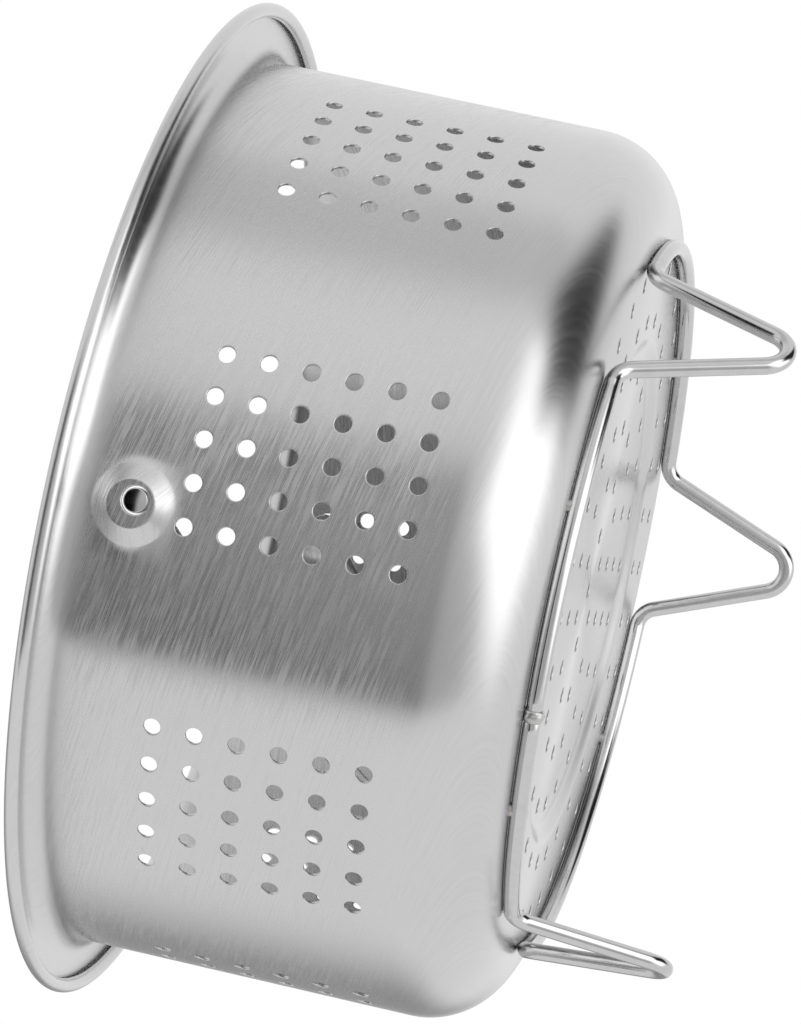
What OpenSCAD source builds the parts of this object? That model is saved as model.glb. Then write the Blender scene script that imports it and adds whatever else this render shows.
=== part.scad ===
// Stainless steel steamer basket that hangs in a pot by its flange or stands on three wire legs.
// It stands upright with its mouth up. The origin is on the floor, under the middle of the bowl.

/* [Bowl] */
// Outer diameter of the wall just under the flange
wall_d = 194.4; // [194.2:0.2:197]
// Height from the outer bottom to the top of the flange
bowl_h = 95.2; // [80:0.2:120]
// Thickness of the steel sheet
sheet_t = 0.6; // [0.5:0.05:0.9]
// Outer diameter of the wall at its foot, where the corner begins
wall_foot_d = 193.2; // [190:0.2:194]
// Outer radius of the corner between wall and bottom
corner_r = 18.2; // [12:0.2:22]
// Radius at which the raised middle of the bottom begins
step_r = 52; // [50:0.5:54]
// Width of the slope around the raised middle
step_w = 3; // [2:0.5:4]
// How far the middle of the bottom is raised
step_h = 1.7; // [1:0.1:2.5]

/* [Flange] */
// Outer diameter of the flange over its bead
flange_d = 218.8; // [216:0.2:236]
// Inner radius of the bend from wall to flange, on the outside of the bowl
flange_bend_r = 4.5; // [3:0.1:6]
// Diameter of the curled bead at the flange's edge
bead_d = 3.1; // [2.6:0.1:4]
// How far the flange's edge rolls off before the bead
edge_drop = 0.12; // [0.1:0.02:0.3]

/* [Wall holes] */
// Number of hole patches around the wall
patches = 8; // [6:1:8]
// Rows of holes in a patch, counted around the wall
patch_rows = 5; // [3:1:5]
// Holes in a row, counted up the wall
row_holes = 6; // [3:1:6]
// Distance between the holes of a row, up the wall
hole_pitch = 8.6; // [7:0.1:9]
// Distance between the rows of a patch, around the wall
row_pitch = 8.76; // [7:0.02:9]
// Diameter of every drain hole
hole_d = 3.5; // [2.5:0.1:4.5]
// Height of the top holes above the floor
top_hole_z = 104.3; // [100:0.1:106]
// Angle of the middle of the first patch from the handle's pivot
patch_angle = 8.5; // [0:0.5:22]

/* [Bottom holes] */
// Number of rings of holes in the bottom
bottom_rings = 6; // [4:1:6]
// Distance between the rings, and the radius of the first
ring_pitch = 11.85; // [11.6:0.05:12]

/* [Leg stand] */
// Height from the floor to the outer bottom of the bowl
leg_h = 35; // [25:0.5:45]
// Diameter of the stand's wire
stand_wire_d = 3.5; // [3:0.1:4]
// Radius of the stand's ring, at the middle of the wire
stand_ring_r = 76.5; // [72:0.5:77]
// How far the stand's middle sits from the bowl's axis, along -Y
stand_offset = 1.2; // [0:0.1:1.5]
// Half of the angle that a leg takes out of the ring
leg_half_angle = 12.3; // [9:0.1:14]
// Direction of the first leg from the handle's pivot
leg_angle = 49.5; // [0:0.5:60]
// How far the third leg stands short of an even spacing
leg_skew = 3; // [0:0.5:5]
// Bend radius at the foot of a leg, at the middle of the wire
foot_bend_r = 5.6; // [4:0.1:7]
// Bend radius where a leg leaves the ring, at the middle of the wire
root_bend_r = 5; // [4:0.1:6]
// Direction of the weld that closes the ring
butt_weld_angle = -18; // [-40:1:-5]

/* [Bail handle] */
// Diameter of the bail's wire
bail_wire_d = 4; // [3:0.1:4.4]
// Radius of the bail's arch, at the middle of the wire
bail_r = 88; // [84:0.5:88]
// Bend radius where the bail turns out into its pivot hole
bail_bend_r = 4; // [3:0.5:5]
// Angle by which the folded bail hangs below level
bail_fold = 46; // [20:0.5:54]
// Diameter of the pivot hole in a boss
pivot_hole_d = 5.6; // [5.4:0.1:6]
// Diameter of the pins that the bail's ends are upset to
pin_d = 5; // [4.4:0.1:5]
// How far the pins ride above the middle of their holes
pin_rise = 0.1; // [0:0.05:0.15]

/* [Handle bosses] */
// Diameter of a boss where it leaves the wall
boss_base_d = 16.6; // [14:0.2:18]
// Diameter of the flat face of a boss
boss_face_d = 9.6; // [8:0.2:10]
// How far a boss stands out from the wall
boss_h = 2.05; // [1.5:0.05:2.5]
// Height of the bosses above the floor
boss_z = 115; // [113:0.1:116]
// How far the middle of a boss sits to one side of the pivot line
boss_side = 0.8; // [0:0.05:1]
// How far the pivot hole sits below the middle of its boss
pivot_drop = 0.85; // [0:0.05:1]

/* [Hidden] */

fine = 180;
small = 48;
wire_sides = 16;
steel = [0.72, 0.72, 0.73];
bright_steel = [0.8, 0.8, 0.81];

// Bowl: heights and radii of the pressed profile
bottom_z = leg_h;
flange_top_z = bottom_z + bowl_h;
flange_z = flange_top_z - sheet_t;
bead_r = bead_d / 2;
bead_centre = [flange_d / 2 - bead_r, flange_top_z - edge_drop - bead_r];
// The flat of the flange ends here, clear of the bead that hangs below it
flat_end_x = bead_centre[0] - bead_r - 0.1;
bend_z = flange_z - flange_bend_r;
bend_x = wall_d / 2 + flange_bend_r;
corner_z = bottom_z + corner_r;
corner_x = wall_foot_d / 2 - corner_r;

// Bosses: the cone of the outer face, and its offset inside the sheet
boss_face_x = wall_line(boss_z) + boss_h;
boss_slope = (boss_base_d - boss_face_d) / 2 / boss_h;
boss_sheet_step = sheet_t * sqrt(1 + boss_slope * boss_slope);
boss_root_x = wall_line(boss_z) - sheet_t + 0.05;
boss_void_x = boss_root_x - 0.65;

// Bail: the heights of its holes and pins, and how far the pins reach, to just inside the bosses' faces
pivot_hole_z = boss_z - pivot_drop;
pin_z = pivot_hole_z + pin_rise;
pin_end = floor(10 * boss_face_x) / 10 - 0.1;

// Stand: the wire's height, and the corner that the two limbs of a leg would meet at
stand_wire_r = stand_wire_d / 2;
ring_z = leg_h - stand_wire_r - 0.05;
half_chord = stand_ring_r * sin(leg_half_angle);
limb_lean = leg_lean(20);
foot_z = stand_wire_r - foot_bend_r * (1 / sin(limb_lean) - 1);
third_leg_angle = leg_angle + 240 - leg_skew;

// Outer radius of the wall at a height
function wall_line(z) = (wall_foot_d + (wall_d - wall_foot_d) * (z - corner_z) / (bend_z - corner_z)) / 2;

// Lean of a limb from upright, from the height that its own foot bend leaves it
function leg_lean(a, n = 12) = n == 0 ? a :
    leg_lean(atan(half_chord / (ring_z - stand_wire_r + foot_bend_r * (1 / sin(a) - 1))), n - 1);

function unit(v) = v / norm(v);
function at(r, a, z) = [r * cos(a), r * sin(a), z];

// Points of a bend of radius r that rounds the corner p, met along a and left along b
function bend(p, a, b, r, n) =
    let (turn = acos(a * b), t = r * tan(turn / 2), side = unit(b - a * (a * b)))
    [for (i = [0:n]) p - a * t + a * r * sin(turn * i / n) + side * r * (1 - cos(turn * i / n))];

// The stand's wire from the middle of one leg's gap in the ring round to the next leg's foot
function leg_points(a) =
    let (root_in = at(stand_ring_r, a - leg_half_angle, ring_z),
         root_out = at(stand_ring_r, a + leg_half_angle, ring_z),
         foot = at(stand_ring_r * cos(leg_half_angle), a, foot_z),
         along_in = at(1, a - leg_half_angle + 90, 0),
         along_out = at(1, a + leg_half_angle + 90, 0),
         down = unit(foot - root_in),
         up = unit(root_out - foot))
    concat(bend(root_in, along_in, down, root_bend_r, 8), bend(foot, down, up, foot_bend_r, 12),
        bend(root_out, up, along_out, root_bend_r, 8));

function arc_points(a0, a1, n) = [for (i = [0:n]) at(stand_ring_r, a0 + (a1 - a0) * i / n, ring_z)];

// Angle beyond a leg's root at which its bend has run out into the ring
root_run = 2.9 + leg_half_angle;

// The whole stand, from one side of the butt weld round to the other
weld_gap = 0.25;
stand_path = concat(
    arc_points(butt_weld_angle + weld_gap, leg_angle - root_run, 18), leg_points(leg_angle),
    arc_points(leg_angle + root_run, leg_angle + 120 - root_run, 28), leg_points(leg_angle + 120),
    arc_points(leg_angle + 120 + root_run, third_leg_angle - root_run, 28), leg_points(third_leg_angle),
    arc_points(third_leg_angle + root_run, butt_weld_angle + 360 - weld_gap, 10));

// A wire of radius r swept along a path that keeps close to an upright cylinder
module swept_wire(path, r) {
    last = len(path) - 1;
    n = wire_sides;
    rings = [for (i = [0:last])
        let (t = unit(path[min(i + 1, last)] - path[max(i - 1, 0)]),
             radial = unit([path[i][0], path[i][1], 0]),
             v = unit(cross(t, radial)),
             u = cross(v, t))
        [for (k = [0:n - 1]) path[i] + r * (u * cos(360 * k / n) + v * sin(360 * k / n))]];
    skin = [for (i = [0:last - 1]) for (k = [0:n - 1])
        [i * n + k, (i + 1) * n + k, (i + 1) * n + (k + 1) % n, i * n + (k + 1) % n]];
    start = [for (k = [0:n - 1]) k];
    end = [for (k = [n - 1:-1:0]) last * n + k];
    polyhedron(points = [for (ring = rings) each ring], faces = concat([start], skin, [end]));
}

// A quarter turn of bent sheet between two radii, in the quadrant that the signs choose
module quarter_bend(centre, r_in, r_out, sign_x, sign_z) {
    translate(centre) intersection() {
        difference() {
            circle(r_out, $fn = fine);
            circle(r_in, $fn = fine);
        }
        polygon([[0, 0], [2 * r_out * sign_x, 0], 2 * r_out * [sign_x, sign_z], [0, 2 * r_out * sign_z]]);
    }
}

// The flange's edge, curled under until it nearly meets the flange again
module curled_edge() {
    translate(bead_centre) difference() {
        circle(bead_r, $fn = fine);
        circle(bead_r - sheet_t, $fn = fine);
        polygon([[0, 0], [0, 2 * bead_r],
            3 * bead_r * [cos(130), sin(130)], 3 * bead_r * [cos(165), sin(165)]]);
    }
}

// Half section of the pressed bowl
module bowl_section() {
    wall_out = [[wall_foot_d / 2, corner_z], [wall_d / 2, bend_z]];
    roll_off = [[flat_end_x, flange_z], [bead_centre[0], flange_z - edge_drop]];
    floor_under = [[0, bottom_z + step_h], [step_r, bottom_z + step_h], [step_r + step_w, bottom_z],
        [corner_x, bottom_z]];
    polygon(concat(floor_under, [for (i = [3:-1:0]) floor_under[i] + [0, sheet_t]]));
    quarter_bend([corner_x, corner_z], corner_r - sheet_t, corner_r, 1, -1);
    polygon(concat(wall_out, [for (i = [1, 0]) wall_out[i] - [sheet_t, 0]]));
    quarter_bend([bend_x, bend_z], flange_bend_r, flange_bend_r + sheet_t, -1, 1);
    translate([bend_x, flange_z]) square([flat_end_x - bend_x, sheet_t]);
    polygon(concat(roll_off, [for (i = [1, 0]) roll_off[i] + [0, sheet_t]]));
    curled_edge();
}

// A cone along +X between two planes, with the radius of a boss at each plane
module boss_cone(x0, x1, inset) {
    r0 = boss_face_d / 2 + (boss_face_x - x0) * boss_slope - inset;
    r1 = boss_face_d / 2 + (boss_face_x - x1) * boss_slope - inset;
    translate([x0, -boss_side, boss_z]) rotate([0, 90, 0])
        cylinder(h = x1 - x0, r1 = r0, r2 = r1, $fn = small);
}

// One drain hole through the wall
module wall_hole(a, z) {
    rotate([0, 0, a]) translate([wall_d / 2 - 4, 0, z]) rotate([0, 90, 0])
        cylinder(h = 8, d = hole_d, $fn = 24);
}

module wall_holes() {
    row_angle = row_pitch / (wall_d / 2) * 180 / PI;
    for (p = [0:patches - 1], row = [0:patch_rows - 1], i = [0:row_holes - 1])
        wall_hole(patch_angle + 360 / patches * p + row_angle * (row - (patch_rows - 1) / 2),
            top_hole_z - i * hole_pitch);
}

module bottom_holes() {
    translate([0, 0, bottom_z - 1]) cylinder(h = step_h + 4, d = hole_d, $fn = 24);
    for (ring = [1:bottom_rings], i = [0:6 * ring - 1])
        rotate([0, 0, (i + 0.5) * 60 / ring]) translate([ring * ring_pitch, 0, bottom_z - 1])
            cylinder(h = step_h + 4, d = hole_d, $fn = 24);
}

module basket_bowl() {
    color(steel) difference() {
        union() {
            rotate_extrude($fn = fine) bowl_section();
            for (side = [0, 180]) rotate([0, 0, side]) boss_cone(boss_root_x, boss_face_x, 0);
        }
        for (side = [0, 180]) rotate([0, 0, side]) {
            boss_cone(boss_void_x, boss_face_x - sheet_t, boss_sheet_step);
            translate([wall_d / 2 - 4, 0, pivot_hole_z]) rotate([0, 90, 0])
                cylinder(h = 10, d = pivot_hole_d, $fn = small);
        }
        wall_holes();
        bottom_holes();
    }
}

module leg_stand() {
    color(bright_steel) translate([0, -stand_offset, 0]) swept_wire(stand_path, stand_wire_r);
}

// The bead of weld metal that joins the two ends of the ring
module stand_butt_weld() {
    color(bright_steel) translate([0, -stand_offset, 0]) rotate([0, 0, butt_weld_angle])
        translate([stand_ring_r, 0, ring_z]) rotate([90, 0, 0]) intersection() {
            sphere(d = stand_wire_d + 0.9, $fn = small);
            cube([10, stand_wire_d + 0.1, 2.6], center = true);
        }
}

// Two welds between each pair of legs, each a small pad from the wire into the sheet
module stand_spot_welds() {
    color(bright_steel) translate([0, -stand_offset, 0]) for (leg = [0:2], side = [-1, 1])
        rotate([0, 0, leg_angle + 120 * leg + 60 + 24 * side])
            translate([stand_ring_r, 0, leg_h - 0.9]) cylinder(h = 1.1, d = 3, $fn = small);
}

// One end of the bail in its own plane: the bend out of the arch, and the pin through the boss
module bail_end() {
    bend_x = bail_r + bail_bend_r;
    translate([bend_x, bail_bend_r, 0]) rotate([0, 0, 180]) rotate_extrude(angle = 90, $fn = fine)
        translate([bail_bend_r, 0]) circle(d = bail_wire_d, $fn = small);
    translate([bend_x, 0, 0]) rotate([0, 90, 0]) cylinder(h = 1.5, d = bail_wire_d, $fn = small);
    translate([bend_x + 1, 0, 0]) rotate([0, 90, 0]) cylinder(h = pin_end - bend_x - 1, d = pin_d, $fn = small);
}

// The bail folded down inside the bowl, with its pivot along X
module bail_handle() {
    color(bright_steel) translate([0, 0, pin_z]) rotate([180 + bail_fold, 0, 0]) {
        translate([0, bail_bend_r, 0]) rotate_extrude(angle = 180, $fn = fine)
            translate([bail_r, 0]) circle(d = bail_wire_d, $fn = small);
        bail_end();
        mirror([1, 0, 0]) bail_end();
    }
}

basket_bowl();
leg_stand();
stand_butt_weld();
stand_spot_welds();
bail_handle();
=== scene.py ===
import math
from collections import namedtuple
import bpy
import numpy as np
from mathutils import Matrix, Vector, noise


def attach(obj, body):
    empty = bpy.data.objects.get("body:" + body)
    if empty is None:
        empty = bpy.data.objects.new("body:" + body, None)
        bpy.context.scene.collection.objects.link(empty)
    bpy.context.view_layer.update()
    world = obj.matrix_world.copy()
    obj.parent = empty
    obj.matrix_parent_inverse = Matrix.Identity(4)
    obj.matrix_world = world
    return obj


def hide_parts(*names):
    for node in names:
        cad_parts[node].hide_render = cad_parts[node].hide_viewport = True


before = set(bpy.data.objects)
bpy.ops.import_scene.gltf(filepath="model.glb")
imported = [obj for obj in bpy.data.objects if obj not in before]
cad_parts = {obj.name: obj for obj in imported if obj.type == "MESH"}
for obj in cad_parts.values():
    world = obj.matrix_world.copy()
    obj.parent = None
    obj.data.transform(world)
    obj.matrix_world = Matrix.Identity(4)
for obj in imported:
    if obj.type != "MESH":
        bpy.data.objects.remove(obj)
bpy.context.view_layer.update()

MM = 0.001

# ---------------------------------------------------------------- dimensions, in millimetres
# the bowl's sheet, from the bottom up
SHEET = 0.6
BOTTOM_Z = 35.0
STEP_H = 1.7
CORNER_R = 18.2
CORNER_X = 78.4
CORNER_Z = 53.2
WALL_TOP_Z = 125.1
WALL_FOOT_R = 96.6
WALL_TOP_R = 97.2
BEND_R = 4.5
FLANGE_Z = 129.6
BEAD_X, BEAD_Z, BEAD_R = 107.85, 128.53, 1.55
FLAT_END_X = 106.2

# the punched holes: patches in the wall and rings in the bottom
HOLE_R = 1.75
HOLE_PITCH = 8.6
TOP_HOLE_Z = 104.3
PATCH_ANGLE = 8.5
ROW_PITCH = 8.76
ROW_ANGLE = math.degrees(ROW_PITCH / WALL_TOP_R)
RING_PITCH = 11.85

# the bosses that the bail turns in
BOSS_Y, BOSS_Z = -0.8, 115.0
BOSS_BASE_R, BOSS_FACE_R, BOSS_H = 8.3, 4.8, 2.05
BOSS_REACH = 10.5
PIVOT_HOLE_Z, PIVOT_HOLE_R = 114.15, 2.8

# the wire stand
WIRE_R = 1.75
RING_R, RING_Z = 76.5, 33.2
STAND_Y = -1.2
LEG_HALF = 12.3
LEG_ANGLES = (49.5, 169.5, 286.5)
FOOT_BEND, ROOT_BEND = 5.6, 5.0
# degrees of the ring that a root's bend takes, and half of the gap under the weld
ROOT_RUN, WELD_GAP = 2.9, 0.25
# points of a wire closer together than this are merged
MIN_STEP = 0.12
WELD_ANGLE = -18.0
WELD_HALF, WELD_SWELL = 1.35, 0.46

# the bail, whose ends are thicker and turn as pins
BAIL_WIRE_R, BAIL_R, BAIL_BEND = 2.0, 88.0, 4.0
BAIL_FOLD = 46.0
PIN_Z, PIN_R, PIN_START, PIN_END = 114.25, 2.5, 93.0, 99.0
UPSET_RUN = 0.6


def smax(a, b, k):
    """The larger of two values, with the change from one to the other rounded over k."""
    return np.maximum(a, b) + np.maximum(k - np.abs(a - b), 0) ** 2 / (4 * k)


def smin(a, b, k):
    return -smax(-np.asarray(a), -np.asarray(b), k)


# ---------------------------------------------------------------- meshes
class Shell:
    """Points and faces of one mesh, gathered piece by piece."""

    def __init__(self):
        self.points, self.faces, self.count = [], [], 0

    def add(self, pts):
        pts = np.asarray(pts, float).reshape(-1, 3)
        self.points.append(pts)
        ids = np.arange(self.count, self.count + len(pts))
        self.count += len(pts)
        return ids

    def strip(self, a, b):
        """Faces between two closed rows of points."""
        for i in range(len(a)):
            j = (i + 1) % len(a)
            self.faces.append((a[i], a[j], b[j], b[i]))

    def object(self, name):
        """The mesh as a smooth-shaded object, without points that no face uses."""
        pts = np.vstack(self.points) * MM
        used = np.zeros(len(pts), bool)
        for f in self.faces:
            used[list(f)] = True
        new = np.cumsum(used) - 1
        faces = [tuple(int(new[i]) for i in f) for f in self.faces]
        mesh = bpy.data.meshes.new(name)
        mesh.from_pydata(pts[used].tolist(), [], faces)
        mesh.update()
        mesh.polygons.foreach_set("use_smooth", [True] * len(mesh.polygons))
        obj = bpy.data.objects.new(name, mesh)
        bpy.context.scene.collection.objects.link(obj)
        return obj


def wall_r(z):
    return WALL_FOOT_R + (z - CORNER_Z) * (WALL_TOP_R - WALL_FOOT_R) / (WALL_TOP_Z - CORNER_Z)


def boss_x(y, z, skin):
    """X of the sheet's outer (skin 0) or inner face near a boss, from the wall and the raised cone."""
    rho = np.hypot(y - BOSS_Y, z - BOSS_Z)
    face = wall_r(BOSS_Z) + BOSS_H
    cone = face - (rho - BOSS_FACE_R) * BOSS_H / (BOSS_BASE_R - BOSS_FACE_R)
    raised = smin(face, cone, 0.14)
    wall = np.sqrt(wall_r(z) ** 2 - y * y)
    return smax(wall, raised, 0.55) - skin


def wall_points(angles, z, skin):
    """Points of the wall's outer or inner face at these angles, with the bosses raised."""
    a = np.radians(np.asarray(angles, float))
    z = np.broadcast_to(np.asarray(z, float), a.shape)
    r = wall_r(z) - skin
    pts = np.stack([r * np.cos(a), r * np.sin(a), z], -1)
    for side in (1, -1):
        y = wall_r(z) * np.sin(a) * side
        near = (np.cos(a) * side > 0.9) & (np.hypot(y - BOSS_Y, z - BOSS_Z) < BOSS_REACH)
        if near.any():
            x = boss_x(y[near], z[near], skin)
            pts[near, 0] = x * side
            pts[near, 1] = y[near] * side
    return pts


# the grid round the bowl has 45 columns for each patch: seven for each row of holes, ten for the plain wall
N_COLS = 360
PATCHES, PATCH_STEP, PATCH_ROWS, HOLES_IN_ROW = 8, 45, 5, 6
ROW_COLS, PLAIN_COLS = 7, 10
COL_STEP = ROW_ANGLE / ROW_COLS
EDGE_STEP = 0.65
HALF_PATCH = ROW_ANGLE * PATCH_ROWS / 2
PLAIN_STEP = (PATCH_STEP - 2 * HALF_PATCH - EDGE_STEP) / (PLAIN_COLS - 1)
WALL_ANGLES = np.array([
    PATCH_ANGLE + PATCH_STEP * p + a for p in range(PATCHES)
    for a in [COL_STEP * i - HALF_PATCH for i in range(ROW_COLS * PATCH_ROWS)]
    + [PLAIN_STEP * i + HALF_PATCH for i in range(PLAIN_COLS)]])
FLOOR_SHIFT = 9
FLOOR_ANGLES = np.arange(float(N_COLS)) - FLOOR_SHIFT

# the step in the bottom, between the fourth and fifth rings of holes
STEP_FROM, STEP_TO = 51.0, 56.0
STEP_TOP_R, STEP_RUN = 51.4, 4.2

# rows of points up each kind of cell, and the heights that bound the cells of the wall
FLOOR_ROWS, WALL_ROWS, BOSS_ROWS = 6, 8, 14
PATCH_TOP_Z, BOSS_TOP_Z = 106.5, 123.5
BOSS_COL, BOSS_COLS = -2, 15
# rings of holes, the k-th of which has k times as many holes as the first
RINGS, RING_HOLES = 6, 6
# loops round a boss: radius, and how far its middle has moved to the pivot hole
BOSS_LOOPS = [(r, 0.0) for r in (8.45, 8.2, 7.9, 7.5, 7.0, 6.4, 5.8, 5.35, 5.1, 4.95, 4.88, 4.8, 4.72, 4.6)]
BOSS_LOOPS += [(4.15, 0.33), (3.7, 0.67)]
PIVOT_LIPS = (0.3, 0.1)


def floor_lift(r):
    """How far the middle of the bottom stands above its rim."""
    t = np.clip((r - STEP_TOP_R) / STEP_RUN, 0, 1)
    return STEP_H * (1 - t * t * (3 - 2 * t))


class Station:
    """One closed row of points round the bowl, on both faces of the sheet."""

    def __init__(self, shell, outer, inner):
        self.out, self.inn = shell.add(outer), shell.add(inner)


def circle(r, a, z):
    """Points at angles a, in radians, on a level circle."""
    return np.stack([r * np.cos(a), r * np.sin(a), np.full(len(a), z)], -1)


def floor_station(shell, r):
    flat = circle(r, np.radians(FLOOR_ANGLES), BOTTOM_Z + floor_lift(r))
    return Station(shell, flat, flat + [0, 0, SHEET])


def corner_station(shell, turn):
    """turn goes from 0 on the floor to 90 degrees at the wall's foot."""
    share = turn / 90
    a = np.radians(FLOOR_ANGLES * (1 - share) + WALL_ANGLES * share)
    t = math.radians(turn)
    rows = [circle(CORNER_X + radius * math.sin(t), a, CORNER_Z - radius * math.cos(t))
            for radius in (CORNER_R, CORNER_R - SHEET)]
    return Station(shell, *rows)


def wall_station(shell, z):
    return Station(shell, wall_points(WALL_ANGLES, z, 0), wall_points(WALL_ANGLES, z, SHEET))


def punched(shell, outer, inner, turns, place, radius, lip=0.17, inner_lip=0.12):
    """Leads the sheet from the outer loop through a round hole to the inner loop, over rounded edges."""
    loops = [(radius + lip + 0.16, 0.0), (radius + lip, 0.0)]
    for t in np.radians((22.5, 45, 67.5, 90)):
        loops.append((radius + lip * (1 - math.sin(t)), lip * (1 - math.cos(t))))
    for t in np.radians((90, 45, 0)):
        loops.append((radius + inner_lip * (1 - math.sin(t)), SHEET - inner_lip * (1 - math.cos(t))))
    loops.append((radius + inner_lip + 0.3, SHEET))
    last = outer
    for rho, depth in loops:
        ids = shell.add(place(rho, turns, depth))
        shell.strip(last, ids)
        last = ids
    shell.strip(last, inner)


# a block of the grid that a hole or a boss takes up: its rows, its columns, and where its middle is
Cell = namedtuple("Cell", "kind r0 r1 c0 c1 at")


def cell_loop(stations, cell, face):
    """Ids round a cell of the grid, in the order that keeps the sheet's outside on the outside."""
    col = [c % N_COLS for c in range(cell.c0, cell.c1 + 1)]
    rows = [getattr(station, face) for station in stations[cell.r0:cell.r1 + 1]]
    loop = [rows[0][c] for c in col]
    loop += [row[col[-1]] for row in rows[1:]]
    loop += [rows[-1][c] for c in col[-2::-1]]
    loop += [row[col[0]] for row in rows[-2:0:-1]]
    return loop


def bottom_grid(shell, stations, cells):
    """Rows of points across the bottom, with a cell for each hole of each ring."""
    edges = [RING_PITCH * (k + 0.5) for k in range(RINGS + 1)]
    bands = {k: (edges[k - 1], edges[k]) for k in range(1, RINGS + 1)}
    bands[4] = (edges[3], STEP_FROM)
    bands[5] = (STEP_TO, edges[5])
    stations.append(floor_station(shell, edges[0]))
    for k, (low, high) in bands.items():
        if low == STEP_TO:
            stations += [floor_station(shell, r) for r in np.linspace(STEP_FROM, STEP_TO, 11)[1:]]
        first = len(stations) - 1
        stations += [floor_station(shell, r) for r in np.linspace(low, high, FLOOR_ROWS + 1)[1:]]
        width = N_COLS // (RING_HOLES * k)
        for j in range(RING_HOLES * k):
            column = j * width + FLOOR_SHIFT
            middle = (k * RING_PITCH, (j + 0.5) * width)
            cells.append(Cell("floor", first, first + FLOOR_ROWS, column, column + width, middle))


def wall_grid(shell, stations, cells):
    """Rows of points up the wall, with a cell for each hole of each patch and for each boss."""
    low = TOP_HOLE_Z - (HOLES_IN_ROW - 0.5) * HOLE_PITCH
    stations += [wall_station(shell, z) for z in (54.4, 55.7, low)]
    for i in range(HOLES_IN_ROW):
        z0 = low + HOLE_PITCH * i
        z1 = z0 + HOLE_PITCH if i < HOLES_IN_ROW - 1 else PATCH_TOP_Z
        hole_z = TOP_HOLE_Z - HOLE_PITCH * (HOLES_IN_ROW - 1 - i)
        first = len(stations) - 1
        stations += [wall_station(shell, z) for z in np.linspace(z0, z1, WALL_ROWS + 1)[1:]]
        for p in range(PATCHES):
            for row in range(PATCH_ROWS):
                column = PATCH_STEP * p + ROW_COLS * row
                angle = PATCH_ANGLE + PATCH_STEP * p + ROW_ANGLE * (row - (PATCH_ROWS - 1) / 2)
                cells.append(Cell("wall", first, first + WALL_ROWS, column, column + ROW_COLS,
                                  (angle, hole_z)))
    first = len(stations) - 1
    stations += [wall_station(shell, z) for z in np.linspace(PATCH_TOP_Z, BOSS_TOP_Z, BOSS_ROWS + 1)[1:]]
    for side, column in ((1, BOSS_COL), (-1, BOSS_COL + N_COLS // 2)):
        cells.append(Cell("boss", first, first + BOSS_ROWS, column, column + BOSS_COLS, side))
    stations += [wall_station(shell, z) for z in (124.3, WALL_TOP_Z)]


def plain_sheet(shell, stations, cells):
    """Faces on both sides of the sheet wherever no cell is."""
    taken = np.zeros((len(stations), N_COLS), bool)
    for cell in cells:
        for c in range(cell.c0, cell.c1):
            taken[cell.r0:cell.r1, c % N_COLS] = True
    for r, (a, b) in enumerate(zip(stations, stations[1:])):
        for c in range(N_COLS):
            if not taken[r, c]:
                d = (c + 1) % N_COLS
                shell.faces.append((a.out[c], a.out[d], b.out[d], b.out[c]))
                shell.faces.append((b.inn[c], b.inn[d], a.inn[d], a.inn[c]))


def floor_hole(shell, outer, inner, edge, at):
    radius, angle = at
    middle = polar(radius, angle, BOTTOM_Z + floor_lift(radius))
    turns = np.arctan2(edge[:, 1] - middle[1], edge[:, 0] - middle[0])
    punched(shell, outer, inner, turns, lambda rho, t, depth: middle + circle(rho, t, depth), HOLE_R)


def wall_hole(shell, outer, inner, edge, at):
    angle, hole_z = at
    aside = (np.degrees(np.arctan2(edge[:, 1], edge[:, 0])) - angle + 180) % 360 - 180
    turns = np.arctan2(edge[:, 2] - hole_z, np.radians(aside) * 97)

    def place(rho, t, depth):
        around = angle + np.degrees(rho * np.cos(t) / wall_r(hole_z))
        return wall_points(around, hole_z + rho * np.sin(t), depth)
    punched(shell, outer, inner, turns, place, HOLE_R)


def boss(shell, outer, inner, edge, side):
    turns = np.arctan2(edge[:, 2] - BOSS_Z, edge[:, 1] * side - BOSS_Y)

    def place(rho, t, depth, share=1.0):
        """A loop round the boss's middle (share 0) or round its pivot hole (share 1)."""
        y = BOSS_Y * (1 - share) + rho * np.cos(t)
        z = BOSS_Z + (PIVOT_HOLE_Z - BOSS_Z) * share + rho * np.sin(t)
        return np.stack([boss_x(y, z, depth) * side, y * side, z], -1)
    for rho, share in BOSS_LOOPS:
        front, back = (shell.add(place(rho, turns, depth, share)) for depth in (0, SHEET))
        shell.strip(outer, front)
        shell.strip(back, inner)
        outer, inner = front, back
    punched(shell, outer, inner, turns, place, PIVOT_HOLE_R, *PIVOT_LIPS)


def section_arc(x, z, radius, start, end, count):
    """Points of the flange's section on an arc, as distances from the axis and heights."""
    turns = np.radians(np.linspace(start, end, count))
    return [(x + radius * math.cos(t), z + radius * math.sin(t)) for t in turns]


def flange_profile():
    """The flange's section: out under it, round inside and outside the curled edge, and back on top."""
    bend_x, curl_end = WALL_TOP_R + BEND_R, -195
    flat = [103.2, 104.7, 105.8, FLAT_END_X]
    # the rolled-off edge between the flat and the bead
    edge_r, edge_z = 107.0, BEAD_Z + BEAD_R + 0.06
    profile = section_arc(bend_x, WALL_TOP_Z, BEND_R, 180, 90, 11)[1:]
    profile += [(r, FLANGE_Z) for r in flat] + [(edge_r, edge_z - SHEET)]
    profile += section_arc(BEAD_X, BEAD_Z, BEAD_R - SHEET, 90, curl_end, 20)
    profile += section_arc(BEAD_X, BEAD_Z, BEAD_R, curl_end, 90, 31)
    profile += [(edge_r, edge_z)] + [(r, FLANGE_Z + SHEET) for r in flat[::-1]]
    profile += section_arc(bend_x, WALL_TOP_Z, BEND_R + SHEET, 90, 180, 11)[:-1]
    return profile


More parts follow.
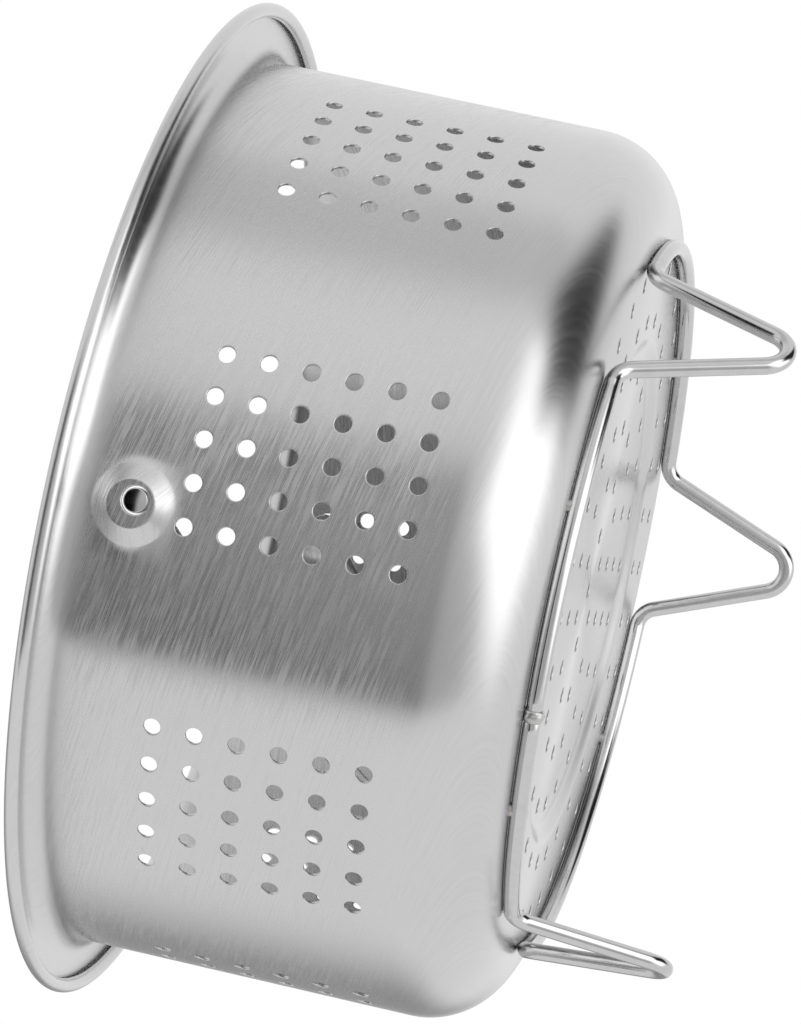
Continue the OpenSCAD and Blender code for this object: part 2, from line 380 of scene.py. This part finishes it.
def build_bowl():
    shell = Shell()
    stations, cells = [], []
    bottom_grid(shell, stations, cells)
    stations += [corner_station(shell, t) for t in np.linspace(0, 90, 31)]
    wall_grid(shell, stations, cells)
    plain_sheet(shell, stations, cells)

    grid = np.vstack(shell.points)
    make = {"floor": floor_hole, "wall": wall_hole, "boss": boss}
    for cell in cells:
        outer, inner = (cell_loop(stations, cell, face) for face in ("out", "inn"))
        make[cell.kind](shell, outer, inner, grid[outer], cell.at)

    # the centre hole's loop runs the other way round, so its faces are turned over
    start = len(shell.faces)
    middle_z = BOTTOM_Z + STEP_H
    punched(shell, stations[0].out, stations[0].inn, np.radians(FLOOR_ANGLES),
            lambda rho, t, depth: circle(rho, t, middle_z + depth), HOLE_R)
    shell.faces[start:] = [face[::-1] for face in shell.faces[start:]]

    last = stations[-1].out
    for r, z in flange_profile():
        ids = shell.add(circle(r, np.radians(WALL_ANGLES), z))
        shell.strip(last, ids)
        last = ids
    shell.strip(last, stations[-1].inn)
    return shell.object("bowl_sheet")


def sweep(name, path, radii, sides=28, cap=0.35):
    """A round wire along a path, with slightly rounded ends. radii is one radius, or one for each point."""
    path = np.asarray(path, float)
    radii = np.broadcast_to(radii, len(path))
    tangents = np.gradient(path, axis=0)
    tangents /= np.linalg.norm(tangents, axis=1)[:, None]
    shell = Shell()
    turns = np.linspace(0, 2 * math.pi, sides, endpoint=False)
    side = unit(np.cross(tangents[0], [0.0, 0.3, 1.0]))
    frames = []
    for point, tangent in zip(path, tangents):
        side = unit(side - tangent * side.dot(tangent))
        frames.append((point, tangent, side, np.cross(tangent, side)))

    def ring(frame_at, r, along=0.0):
        point, tangent, u, v = frame_at
        round_wire = np.outer(np.cos(turns), u) + np.outer(np.sin(turns), v)
        return shell.add(point + tangent * along + r * round_wire)

    def end(frame_at, r, inward):
        """Rings from a wire's flat end over its rounded edge."""
        return [ring(frame_at, r - cap * (1 - math.sin(a)), inward * cap * (1 - math.cos(a)))
                for a in np.radians((0, 30, 60))]

    rows = end(frames[0], radii[0], 1)
    rows += [ring(f, r) for f, r in zip(frames[2:-2], radii[2:-2])]
    rows += end(frames[-1], radii[-1], -1)[::-1]
    for a, b in zip(rows, rows[1:]):
        shell.strip(a, b)
    shell.faces.append(tuple(rows[0][::-1]))
    shell.faces.append(tuple(rows[-1]))
    return shell.object(name)


def polar(r, a, z):
    """A point from its distance from the axis, its angle in degrees and its height."""
    return np.array([r * math.cos(math.radians(a)), r * math.sin(math.radians(a)), z])


def unit(v):
    return v / np.linalg.norm(v)


def bend(corner, a, b, r, n):
    """Points of a bend of radius r round a corner, met along a and left along b."""
    turn = math.acos(float(a.dot(b)))
    t = r * math.tan(turn / 2)
    side = unit(b - a * a.dot(b))
    return [corner - a * t + a * r * math.sin(turn * i / n) + side * r * (1 - math.cos(turn * i / n))
            for i in range(n + 1)]


def straight(a, b, n):
    """Points between two ends, without the ends."""
    return [a + (b - a) * i / n for i in range(1, n)]


def leg(angle):
    """One V leg: down from the ring, round the foot and up to the ring again."""
    # the limbs' lean and the foot bend's depth depend on each other, so the lean is found step by step
    lean = math.radians(20)
    half = RING_R * math.sin(math.radians(LEG_HALF))
    for _ in range(12):
        foot_z = WIRE_R - FOOT_BEND * (1 / math.sin(lean) - 1)
        lean = math.atan(half / (RING_Z - foot_z))
    foot_z = WIRE_R - FOOT_BEND * (1 / math.sin(lean) - 1)
    root_in, root_out = (polar(RING_R, angle + side * LEG_HALF, RING_Z) for side in (-1, 1))
    foot = polar(RING_R * math.cos(math.radians(LEG_HALF)), angle, foot_z)
    down, up = unit(foot - root_in), unit(root_out - foot)
    a = bend(root_in, polar(1, angle - LEG_HALF + 90, 0), down, ROOT_BEND, 16)
    b = bend(foot, down, up, FOOT_BEND, 28)
    c = bend(root_out, up, polar(1, angle + LEG_HALF + 90, 0), ROOT_BEND, 16)
    return a + straight(a[-1], b[0], 6) + b + straight(b[-1], c[0], 6) + c


def arc(a0, a1):
    """Points of the ring, about one for each degree."""
    n = max(2, int(abs(a1 - a0)))
    return [polar(RING_R, a0 + (a1 - a0) * i / n, RING_Z) for i in range(n + 1)]


def build_stand():
    """The stand's wire, from the butt weld round the ring and down each leg, back to the weld."""
    run = ROOT_RUN + LEG_HALF
    starts = [WELD_ANGLE + WELD_GAP] + [a + run for a in LEG_ANGLES]
    ends = [a - run for a in LEG_ANGLES] + [WELD_ANGLE + 360 - WELD_GAP]
    path = arc(starts[0], ends[0])
    for angle, start, end in zip(LEG_ANGLES, starts[1:], ends[1:]):
        path += leg(angle) + arc(start, end)
    path = [p + np.array([0, STAND_Y, 0]) for p in path]
    keep = [path[0]]
    for p in path[1:]:
        if np.linalg.norm(p - keep[-1]) > MIN_STEP:
            keep.append(p)
    return sweep("stand_wire", keep, WIRE_R)


def build_bail():
    """The bail's wire from one pin to the other, folded down inside the bowl."""
    reach = BAIL_R + BAIL_BEND
    # along a pin, with points close together where it narrows to the wire
    half = [(-x, 0) for x in (PIN_END, 98.4, 97.6, 96.0, 94.4)]
    half += [(-PIN_START - x, 0) for x in (0.3, 0.1, -0.1, -0.3)]
    for t in np.radians(np.linspace(0, 90, 13)):
        half.append((-reach + BAIL_BEND * math.sin(t), BAIL_BEND - BAIL_BEND * math.cos(t)))
    turns = np.linspace(math.pi, 0, 121)[1:-1]
    crown = [(BAIL_R * math.cos(t), BAIL_BEND + BAIL_R * math.sin(t)) for t in turns]
    flat = half + crown + [(-x, y) for x, y in half[::-1]]
    fold = math.radians(180 + BAIL_FOLD)
    path = [(x, y * math.cos(fold), PIN_Z + y * math.sin(fold)) for x, y in flat]
    upset = np.clip((np.abs([x for x, _ in flat]) - PIN_START) / UPSET_RUN + 0.5, 0, 1)
    return sweep("bail_wire", path, BAIL_WIRE_R + (PIN_R - BAIL_WIRE_R) * upset, cap=0.3)


def build_butt_weld():
    """A small uneven collar of weld metal round the joint of the ring."""
    shell = Shell()
    centre = polar(RING_R, WELD_ANGLE, RING_Z) + np.array([0, STAND_Y, 0])
    along, out, up = polar(1, WELD_ANGLE + 90, 0), polar(1, WELD_ANGLE, 0), np.array([0, 0, 1.0])
    loops = []
    for s in np.linspace(-1, 1, 13):
        points = []
        for t in np.linspace(0, 2 * math.pi, 28, endpoint=False):
            d = out * math.cos(t) + up * math.sin(t)
            lump = noise.noise(Vector((d + along * s * 1.3) * 1.7 + np.array([3.1, 0.4, 7.7])))
            swell = WELD_SWELL * max(1 - s * s, 0) ** 0.7 * (1 + 0.55 * lump)
            p = centre + along * s * WELD_HALF + d * (WIRE_R - 0.04 + swell)
            p[2] = min(p[2], BOTTOM_Z + 0.02)
            points.append(p)
        loops.append(shell.add(points))
    for a, b in zip(loops, loops[1:]):
        shell.strip(b, a)
    shell.faces.append(tuple(loops[0]))
    shell.faces.append(tuple(loops[-1][::-1]))
    return shell.object("weld_collar")


# ---------------------------------------------------------------- node helpers
class Nodes:
    """Short calls that add nodes to one tree and join them."""

    def __init__(self, tree):
        self.tree, self.x = tree, 0
        tree.nodes.clear()

    def add(self, kind, inputs=None, **settings):
        node = self.tree.nodes.new(kind)
        self.x += 180
        node.location = (self.x, 0)
        for key, value in settings.items():
            setattr(node, key, value)
        for key, value in (inputs or {}).items():
            if isinstance(value, bpy.types.NodeSocket):
                self.tree.links.new(value, node.inputs[key])
            else:
                node.inputs[key].default_value = value
        return node

    def math(self, op, a, b=0.0, c=0.0):
        return self.add("ShaderNodeMath", {0: a, 1: b, 2: c}, operation=op).outputs[0]

    def times(self, a, b):
        return self.math("MULTIPLY", a, b)

    def times_plus(self, a, b, c):
        return self.math("MULTIPLY_ADD", a, b, c)

    def ramp(self, value, stops):
        node = self.add("ShaderNodeValToRGB", {0: value})
        el = node.color_ramp.elements
        el[0].position, el[-1].position = stops[0][0], stops[-1][0]
        for pos, _ in stops[1:-1]:
            el.new(pos)
        for e, (_, colour) in zip(el, stops):
            e.color = (*colour, 1)
        return node.outputs[0]

    def smooth(self, value, lo, hi):
        """0 below lo, 1 above hi, eased between (lo may be the larger)."""
        flip = lo > hi
        node = self.add("ShaderNodeMapRange", {0: value, 1: min(lo, hi), 2: max(lo, hi),
                                               3: 1.0 if flip else 0.0, 4: 0.0 if flip else 1.0},
                        interpolation_type="SMOOTHSTEP")
        return node.outputs[0]

    def noise(self, vector, scale, detail, rough):
        node = self.add("ShaderNodeTexNoise", {"Vector": vector, "Scale": scale, "Detail": detail,
                                               "Roughness": rough})
        return node.outputs[0]

    def streaks(self, along, across, per_metre, seed, detail, rough):
        """Noise drawn out along one direction, with so many changes to a metre along and across."""
        where = self.vec(self.times(along, per_metre[0]), self.times(across, per_metre[1]), seed)
        return self.noise(where, 1.0, detail, rough)

    def dot(self, vector, axis):
        node = self.add("ShaderNodeVectorMath", {0: vector, 1: axis}, operation="DOT_PRODUCT")
        return node.outputs["Value"]

    def vec(self, x, y, z):
        return self.add("ShaderNodeCombineXYZ", {0: x, 1: y, 2: z}).outputs[0]

    def grey(self, tone):
        return self.add("ShaderNodeCombineColor", {0: tone, 1: tone, 2: tone}).outputs[0]

    def split(self, vector):
        return self.add("ShaderNodeSeparateXYZ", {0: vector}).outputs

    def radius(self, x, y):
        return self.math("SQRT", self.math("ADD", self.times(x, x), self.times(y, y)))

    def mix(self, factor, a, b):
        """One shader where the factor is 0, the other where it is 1."""
        node = self.add("ShaderNodeMixShader", {0: factor})
        self.tree.links.new(a.outputs[0], node.inputs[1])
        self.tree.links.new(b.outputs[0], node.inputs[2])
        return node

    def end(self, shader, kind="ShaderNodeOutputMaterial"):
        self.tree.links.new(shader.outputs[0], self.add(kind).inputs[0])

    def metal(self, colour, rough, normal, **fixed):
        """A metal shader, led to the material's output. Fixed values are set on its own sockets."""
        inputs = {"Base Color": colour, "Metallic": 1.0, "Roughness": rough, "Normal": normal}
        inputs.update({key.replace("_", " "): value for key, value in fixed.items()})
        self.end(self.add("ShaderNodeBsdfPrincipled", inputs))


def material(name):
    mat = bpy.data.materials.new(name)
    mat.use_nodes = True
    return mat, Nodes(mat.node_tree)


# the sheet's pattern: changes to a metre, along and across the scratches
WALL_ARC_R = 0.097
SCRATCH_TILT = 0.2
FINE, COARSE, CLOUDS, WAVES = (130.0, 3900.0), (50.0, 1300.0), (30.0, 30.0), (22.0, 16.0)


def sheet_steel():
    """Satin steel: fine scratches a little off the direction round the bowl, with a few stray ones."""
    mat, n = material("satin_sheet")
    x, y, z = n.split(n.add("ShaderNodeTexCoord").outputs["Object"])
    # arc length round the wall and a coordinate across the scratches, both in metres
    around = n.times(n.math("ARCTAN2", y, x), WALL_ARC_R)
    across = n.math("SUBTRACT", z, n.times(n.radius(x, y), 0.9))
    tilted = n.times_plus(around, SCRATCH_TILT, across)
    fine = n.streaks(around, tilted, FINE, 0.0, 2.0, 0.6)
    coarse = n.streaks(around, tilted, COARSE, 5.0, 2.0, 0.6)
    cloud = n.streaks(around, across, CLOUDS, 9.0, 2.0, 0.5)
    wave = n.streaks(around, across, WAVES, 3.0, 1.0, 0.4)
    # a few short single scratches in another direction
    stray_at = n.vec(n.times_plus(around, 240.0, n.times(across, 150.0)),
                     n.times_plus(across, 1100.0, n.times(around, -700.0)), 2.0)
    stray = n.smooth(n.noise(stray_at, 0.6, 1.0, 0.4), 0.78, 0.84)
    streak = n.math("ADD", n.times(fine, 0.6), n.times(coarse, 0.4))
    # the deeper scratches are rougher, so they pick up more of the room; the bends are polished smoother
    wall = n.times(n.smooth(z, 0.050, 0.066), n.smooth(z, 0.124, 0.119))
    groove = n.times(n.smooth(streak, 0.40, 0.68), n.times_plus(wall, 0.85, 0.15))
    tone = n.math("SUBTRACT", n.times_plus(streak, 0.12, 0.565), n.times(stray, 0.06))
    tone = n.times_plus(cloud, 0.03, tone)
    rough = n.times_plus(groove, 0.21, n.times_plus(cloud, 0.06, 0.20))
    height = n.math("SUBTRACT", n.times_plus(fine, 0.8, n.times(coarse, 1.0)), n.times(stray, 0.5))
    bump = n.add("ShaderNodeBump", {"Strength": n.times_plus(wall, 0.24, 0.08), "Distance": 0.00003,
                                    "Height": height})
    soft = n.add("ShaderNodeBump", {"Strength": 0.35, "Distance": 0.0004, "Height": wave,
                                    "Normal": bump.outputs[0]})
    tangent = n.add("ShaderNodeTangent", direction_type="RADIAL", axis="Z")
    n.metal(n.grey(tone), rough, soft.outputs[0], Anisotropic=0.85, Anisotropic_Rotation=0.25,
            Tangent=tangent.outputs[0])
    return mat


def wire_steel(name, tone0, rough0):
    """Polished wire with faint drawing lines and small dull spots."""
    mat, n = material(name)
    where = n.add("ShaderNodeTexCoord").outputs["Object"]
    spots = n.noise(where, 420.0, 3.0, 0.55)
    grain = n.noise(where, 2600.0, 2.0, 0.6)
    tone = n.times_plus(spots, 0.10, n.times_plus(grain, 0.05, tone0 - 0.075))
    rough = n.times_plus(spots, 0.10, n.times_plus(grain, 0.05, rough0 - 0.06))
    bump = n.add("ShaderNodeBump", {"Strength": 0.12, "Distance": 0.00006,
                                    "Height": n.times_plus(grain, 0.25, spots)})
    n.metal(n.grey(tone), rough, bump.outputs[0])
    return mat


def weld_steel():
    """Weld metal, ground in places and a little tinted by heat."""
    mat, n = material("weld_metal")
    where = n.add("ShaderNodeTexCoord").outputs["Object"]
    lumps = n.noise(where, 900.0, 4.0, 0.6)
    tint = n.noise(where, 260.0, 2.0, 0.5)
    colour = n.ramp(tint, [(0.3, (0.50, 0.50, 0.51)), (0.55, (0.58, 0.57, 0.55)), (0.75, (0.46, 0.42, 0.38))])
    bump = n.add("ShaderNodeBump", {"Strength": 0.5, "Distance": 0.00012, "Height": lumps})
    n.metal(colour, n.times_plus(lumps, 0.35, 0.15), bump.outputs[0])
    return mat


# ---------------------------------------------------------------- the object
sheet_mat, bright_mat, weld_mat = sheet_steel(), wire_steel("polished_wire", 0.60, 0.12), weld_steel()

bowl = build_bowl()
bowl.data.materials.append(sheet_mat)
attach(bowl, "basket")
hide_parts("basket_bowl")

stand = build_stand()
stand.data.materials.append(bright_mat)
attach(stand, "basket")
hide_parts("leg_stand")

collar = build_butt_weld()
collar.data.materials.append(weld_mat)
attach(collar, "basket")
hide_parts("stand_butt_weld")

bail = build_bail()
bail.data.materials.append(bright_mat)
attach(bail, "bail")
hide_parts("bail_handle")

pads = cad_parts["stand_spot_welds"]
pads.data.materials.clear()
pads.data.materials.append(weld_mat)

# ---------------------------------------------------------------- camera
cam_data = bpy.data.cameras.new("camera")
cam_data.lens = 140.0
cam_data.sensor_width = 36.0
cam_data.shift_x, cam_data.shift_y = 0.0009, 0.0052
cam_data.clip_start, cam_data.clip_end = 0.01, 50.0
camera = bpy.data.objects.new("camera", cam_data)
camera.location = (0.84661, 0.01571, -0.06636)
camera.rotation_euler = [math.radians(a) for a in (128.959, 74.266, 128.509)]
bpy.context.scene.collection.objects.link(camera)
bpy.context.scene.camera = camera


# ---------------------------------------------------------------- studio
ROOM_LEVEL = 0.9


class Panel:
    """A soft-edged rectangle of the studio. It faces the basket from towards, an azimuth and an elevation,
    and its edges and their softness are in degrees from its middle: left, right, down and up."""

    def __init__(self, towards, edges, soft, level):
        self.azimuth, self.elevation = (math.radians(a) for a in towards)
        self.edges, self.soft, self.level = edges, soft, level

    def cover(self, n, direction):
        """1 inside the rectangle, 0 outside."""
        a, e = self.azimuth, self.elevation
        ahead = (math.cos(a) * math.cos(e), math.sin(a) * math.cos(e), math.sin(e))
        aside = (-math.sin(a), math.cos(a), 0.0)
        above = (-math.cos(a) * math.sin(e), -math.sin(a) * math.sin(e), math.cos(e))
        x, y, z = (n.dot(direction, axis) for axis in (ahead, aside, above))
        across = n.times(n.math("ARCTAN2", y, x), 180 / math.pi)
        up = n.times(n.math("ARCSINE", z), 180 / math.pi)
        left, right, low, high = self.edges
        parts = [n.smooth(across, left - self.soft[0], left), n.smooth(across, right + self.soft[1], right),
                 n.smooth(up, low - self.soft[2], low), n.smooth(up, high + self.soft[3], high)]
        amount = parts[0]
        for part in parts[1:]:
            amount = n.times(amount, part)
        return amount


PANELS = [
    # the open, dark side of the room, behind the camera
    Panel(towards=(0, 0), edges=(-35, -22, -36, 28), soft=(3, 84, 16, 16), level=0.54),
    # the still darker part above it
    Panel(towards=(-5, 34), edges=(-32, 20, -20, 6), soft=(4, 16, 6, 10), level=0.0),
    # a gap between two white walls
    Panel(towards=(85, 10), edges=(-6, 6, -25, 40), soft=(16, 16, 14, 20), level=0.68),
    # the far side of the room
    Panel(towards=(-152, 20), edges=(-6, 6, -18, 40), soft=(18, 42, 14, 20), level=0.33),
    # a soft box under the bottom edge
    Panel(towards=(38, -52), edges=(-16, 20, -28, 18), soft=(20, 12, 26, 14), level=1.9),
    # a black card beside it
    Panel(towards=(112, -46), edges=(-24, 14, -14, 9), soft=(14, 16, 14, 12), level=0.02),
]


def build_world():
    """White seen directly. In reflections, a white room with a few panels in it."""
    world = bpy.data.worlds.new("studio")
    world.use_nodes = True
    n = Nodes(world.node_tree)
    direction = n.add("ShaderNodeTexCoord").outputs["Generated"]
    level = ROOM_LEVEL
    for panel in PANELS:
        step = n.times(panel.cover(n, direction), n.math("SUBTRACT", panel.level, level))
        level = n.math("ADD", level, step)
    lit = n.add("ShaderNodeBackground", {0: level, 1: 1.0})
    plain = n.add("ShaderNodeBackground", {0: (1, 1, 1, 1), 1: 1.0})
    seen = n.add("ShaderNodeLightPath").outputs["Is Camera Ray"]
    n.end(n.mix(seen, lit, plain), "ShaderNodeOutputWorld")
    bpy.context.scene.world = world


# radii of the floor's rings in millimetres, and where it fades to white, in metres
FLOOR_RINGS = (40, 300, 1200, 6000)
FLOOR_FADE = (0.25, 1.3)


def build_floor():
    """A pale floor under the legs. It is clear from below, because the main camera is below its level."""
    shell = Shell()
    turns = np.linspace(0, 2 * math.pi, 96, endpoint=False)
    middle = shell.add([0, 0, 0])[0]
    rings = [shell.add(circle(r, turns, 0.0)) for r in FLOOR_RINGS]
    for a, b in zip(rings[0], np.roll(rings[0], -1)):
        shell.faces.append((middle, a, b))
    for a, b in zip(rings, rings[1:]):
        shell.strip(b, a)
    floor = shell.object("floor")
    for p in floor.data.polygons:
        if p.normal.z < 0:
            p.flip()
    mat, n = material("pale_floor")
    x, y, _ = n.split(n.add("ShaderNodeTexCoord").outputs["Object"])
    fade = n.smooth(n.radius(x, y), *FLOOR_FADE)
    diffuse = n.add("ShaderNodeBsdfDiffuse", {0: (0.9, 0.9, 0.9, 1)})
    glow = n.add("ShaderNodeEmission", {0: (1, 1, 1, 1), 1: 1.0})
    clear = n.add("ShaderNodeBsdfTransparent")
    below = n.add("ShaderNodeNewGeometry").outputs["Backfacing"]
    n.end(n.mix(below, n.mix(fade, diffuse, glow), clear))
    floor.data.materials.append(mat)
    floor.visible_glossy = False
    floor.visible_shadow = False


build_world()
build_floor()

view = bpy.context.scene.view_settings
view.view_transform = "Standard"
view.look = "None"
